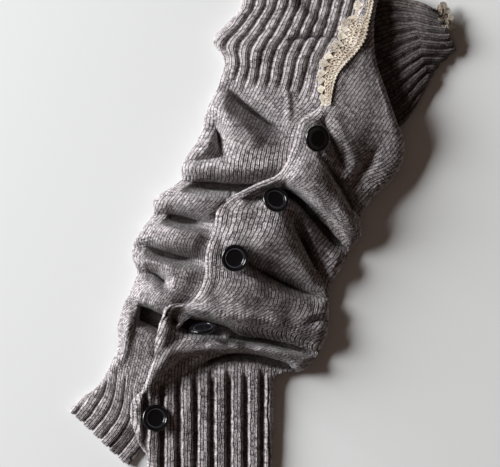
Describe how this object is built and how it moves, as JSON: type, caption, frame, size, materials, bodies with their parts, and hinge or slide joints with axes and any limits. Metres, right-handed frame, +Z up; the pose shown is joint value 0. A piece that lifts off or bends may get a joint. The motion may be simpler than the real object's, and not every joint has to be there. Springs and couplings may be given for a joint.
{
  "type": "knitted boot cuff",
  "caption": "Slouched knitted boot cuff with a buttoned side slit, ribbed ends and a lace edge, lying scrunched on its back.",
  "frame": {"origin": "on the flat underside, at the middle of the sheet that the cuff lies on", "axes": "+Z up from the surface it lies on, +Y from the lower ribbed end to the upper one, +X to the right seen from above"},
  "size_m": [0.2695, 0.3531, 0.042],
  "materials": {
    "heather_knit": "soft matt wool knit, heather taupe",
    "cream_lace": "matt cotton lace, cream",
    "black_gloss": "polished black resin"
  },
  "bodies": {
    "root": {"front_right": "heather_knit", "front_left": "heather_knit", "band_flare": "heather_knit", "inner_layers": "heather_knit", "lace_front": "cream_lace", "lace_hem": "cream_lace", "button_1": "black_gloss", "button_2": "black_gloss", "button_3": "black_gloss", "button_4": "black_gloss", "button_5": "black_gloss"}
  },
  "joints": []
}
